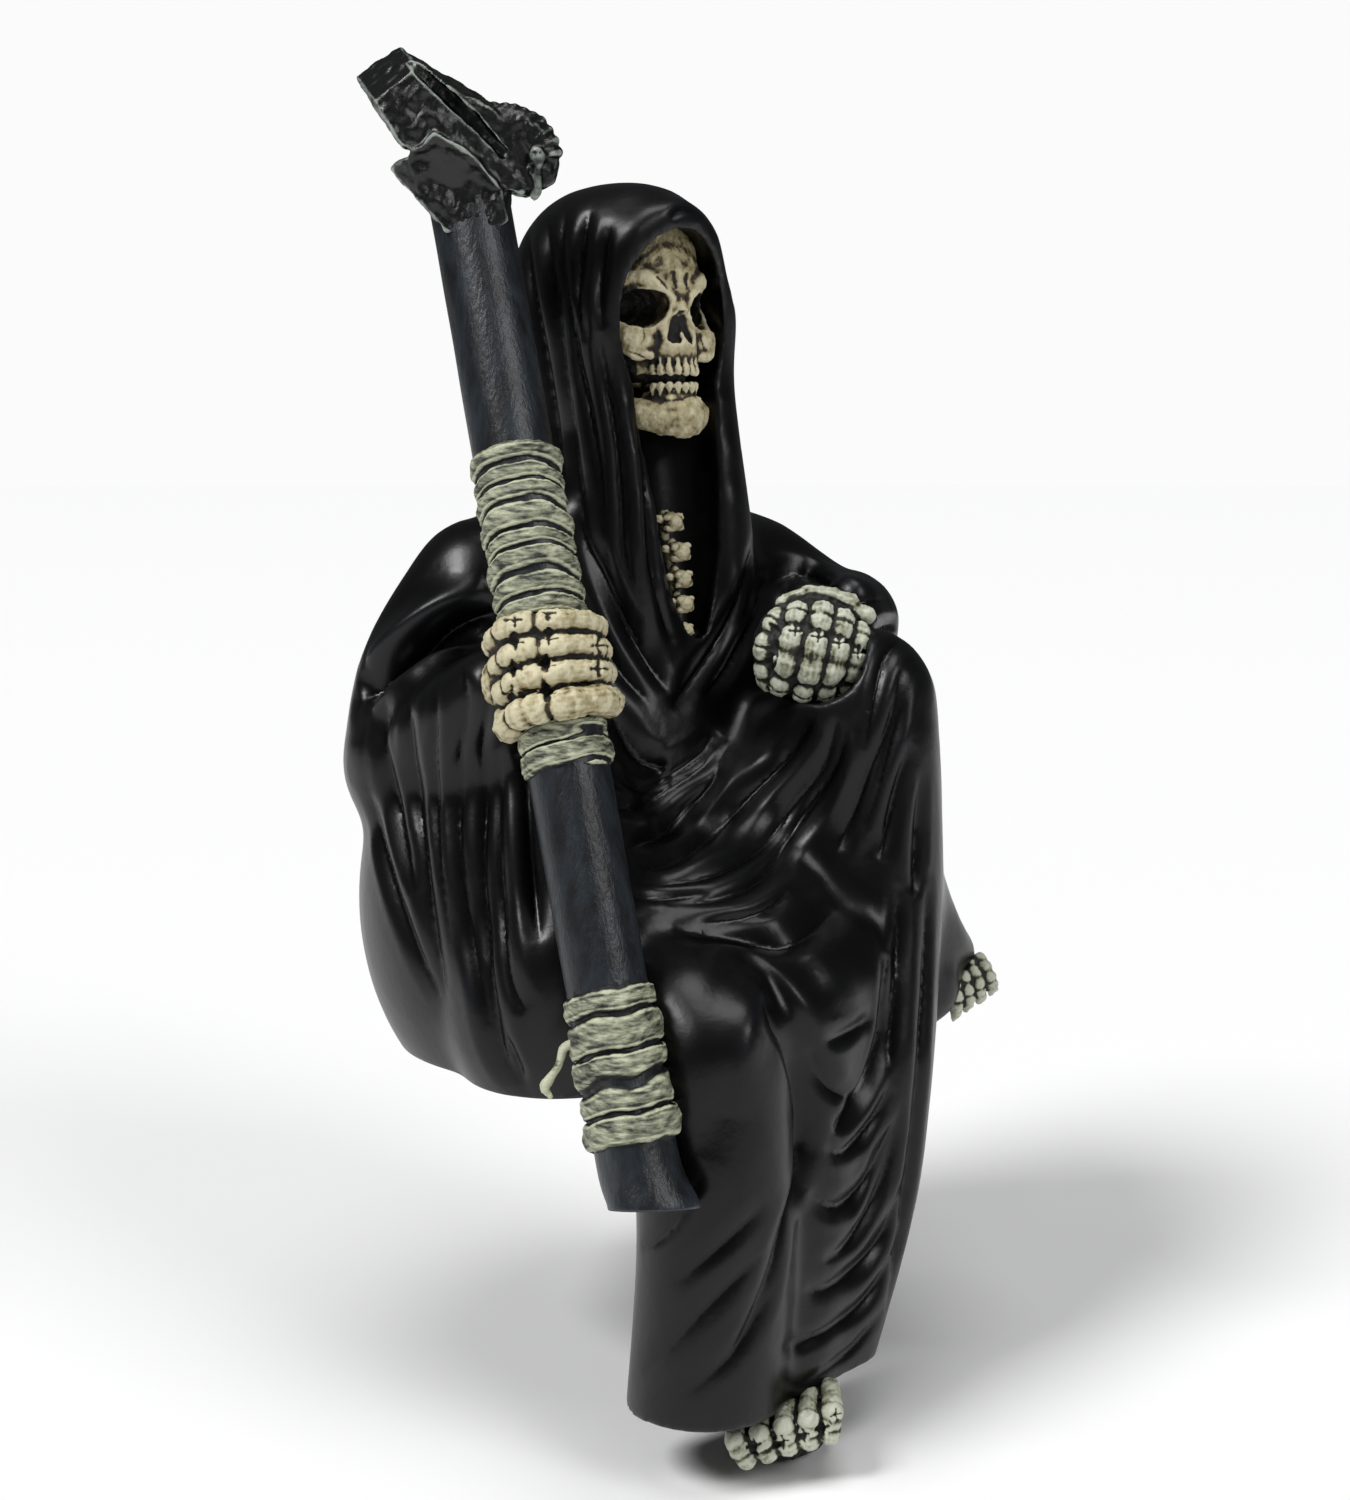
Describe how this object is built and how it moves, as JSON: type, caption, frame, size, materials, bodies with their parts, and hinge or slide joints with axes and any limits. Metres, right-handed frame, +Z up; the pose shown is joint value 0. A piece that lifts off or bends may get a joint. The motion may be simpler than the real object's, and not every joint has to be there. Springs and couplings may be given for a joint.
{
  "type": "grim reaper figurine",
  "caption": "Robed and hooded skeleton with a scythe shaft, cast in one piece, that sits on a shelf's edge with one leg hanging down.",
  "frame": {"origin": "middle of the seat's flat underside, where it rests on the shelf's top", "axes": "+Z up, -Y the way the figure faces, +X the figure's left; the shelf's front face is the plane y = -0.040"},
  "size_m": [0.1042, 0.1122, 0.2193],
  "materials": {
    "figurine": "gloss black paint over cast resin, with bone coloured and grey painted parts"
  },
  "bodies": {
    "root": {"figurine": "figurine"}
  },
  "joints": []
}
